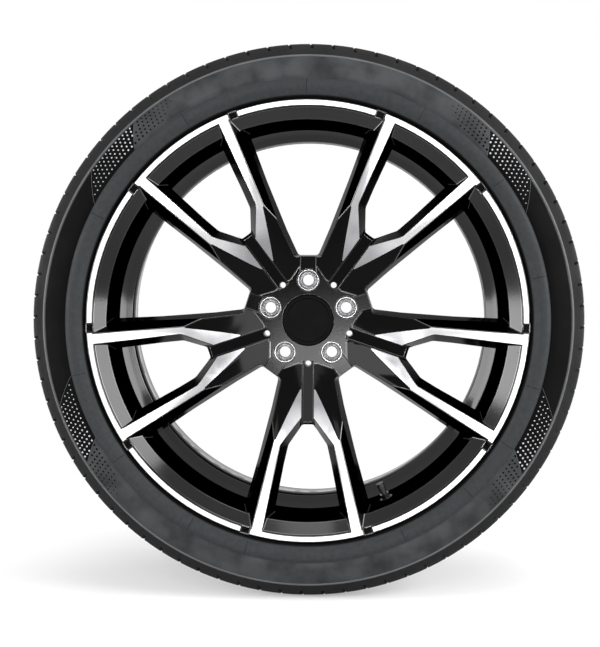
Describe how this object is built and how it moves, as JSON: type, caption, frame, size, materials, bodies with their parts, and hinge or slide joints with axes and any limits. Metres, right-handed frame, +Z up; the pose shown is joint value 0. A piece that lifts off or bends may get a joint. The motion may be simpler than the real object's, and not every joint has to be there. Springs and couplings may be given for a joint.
{
  "type": "car wheel with tyre",
  "caption": "Alloy car wheel with double spokes and a mounted low-profile tyre, bolted to a hub through its drilled centre.",
  "frame": {"origin": "centre of the wheel: on the spin axis, in the middle plane of the rim", "axes": "+Y along the spin axis towards the car, so the outer face looks to -Y; +Z up; a pair of spokes points straight down"},
  "size_m": [0.7478, 0.3136, 0.7476],
  "materials": {
    "rubber_tyre": "matte",
    "wheel_paint": "gloss black paint with turned bright faces",
    "cap_plastic": "gloss",
    "valve_metal": "black anodised",
    "valve_rubber": "matte",
    "core_brass": "satin",
    "spring_steel": "satin"
  },
  "bodies": {
    "wheel": {"tyre": "rubber_tyre", "alloy_wheel": "wheel_paint", "centre_cap": "cap_plastic", "valve_stem": "valve_metal", "valve_seal": "valve_rubber", "valve_washer": "valve_metal", "valve_nut": "valve_metal", "valve_core": "core_brass", "valve_spring": "spring_steel"},
    "valve_pin": {"valve_pin": "core_brass"},
    "valve_cap": {"valve_cap": "cap_plastic"}
  },
  "joints": [
    {"name": "valve_press", "type": "slide", "parent": "wheel", "child": "valve_pin", "axis": [0.4037, 0.1219, -0.9067], "range_m": [0, 0.001], "stiffness_N_per_m": 2000, "deforming": ["valve_spring"]},
    {"name": "valve_cap_off", "type": "slide", "parent": "wheel", "child": "valve_cap", "axis": [-0.4037, -0.1219, 0.9067], "range_m": [0, 0.014]}
  ]
}
